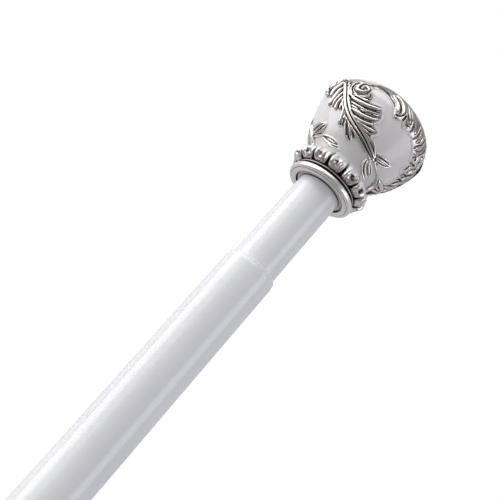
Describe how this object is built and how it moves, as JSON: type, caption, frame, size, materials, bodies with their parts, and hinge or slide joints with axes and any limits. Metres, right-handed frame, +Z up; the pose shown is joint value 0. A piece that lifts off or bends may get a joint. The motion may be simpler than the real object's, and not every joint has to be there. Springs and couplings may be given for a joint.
{
  "type": "spring tension rod",
  "caption": "Telescoping spring tension rod: two white tubes with a twist lock and an inner spring, an urn finial with silver leaf relief and a rubber wall pad at each end.",
  "frame": {"origin": "centre of the wall face of the rubber pad at the outer tube's end", "axes": "+X along the rod towards the inner tube's finial, +Z up, +Y by the right-hand rule"},
  "size_m": [0.7112, 0.058, 0.058],
  "materials": {
    "white_enamel": "gloss",
    "antique_silver": "antiqued silver over cast resin, the plain ground in white gloss",
    "pad_rubber": "matte",
    "natural_nylon": "satin",
    "zinc_steel": "zinc plated",
    "brass": "turned",
    "cast_zinc": "as cast",
    "spring_steel": "drawn wire"
  },
  "bodies": {
    "outer_assembly": {"outer_tube": "white_enamel", "outer_finial": "antique_silver", "outer_tube_plug": "natural_nylon", "outer_threaded_insert": "brass", "outer_finial_screw": "zinc_steel", "outer_screw_washer": "zinc_steel", "outer_wall_pad": "pad_rubber"},
    "ring": {"friction_ring": "natural_nylon"},
    "plunger": {"lock_cam": "cast_zinc", "plunger_rod": "zinc_steel", "cam_nut": "zinc_steel", "spring_disc": "natural_nylon", "disc_nut": "zinc_steel", "power_spring": "spring_steel"},
    "inner_assembly": {"inner_tube": "white_enamel", "guide_bush": "natural_nylon", "bush_rivets": "zinc_steel", "spring_stop": "natural_nylon", "stop_rivets": "zinc_steel", "inner_tube_plug": "natural_nylon", "inner_threaded_insert": "brass", "adapter_sleeve": "natural_nylon", "inner_finial": "antique_silver", "inner_finial_screw": "zinc_steel", "inner_screw_washer": "zinc_steel", "inner_wall_pad": "pad_rubber"}
  },
  "joints": [
    {"name": "length_adjust", "type": "slide", "parent": "outer_assembly", "child": "ring", "axis": [1, 0, 0], "range_m": [-0.02, 0.356]},
    {"name": "twist_lock", "type": "hinge", "parent": "ring", "child": "plunger", "pos_m": [0.095, 0, 0], "axis": [1, 0, 0], "range_deg": [0, 55]},
    {"name": "spring_travel", "type": "slide", "parent": "plunger", "child": "inner_assembly", "axis": [-1, 0, 0], "range_m": [0, 0.024], "stiffness_N_per_m": 1500, "springref_m": -0.008, "deforming": ["power_spring"]}
  ]
}
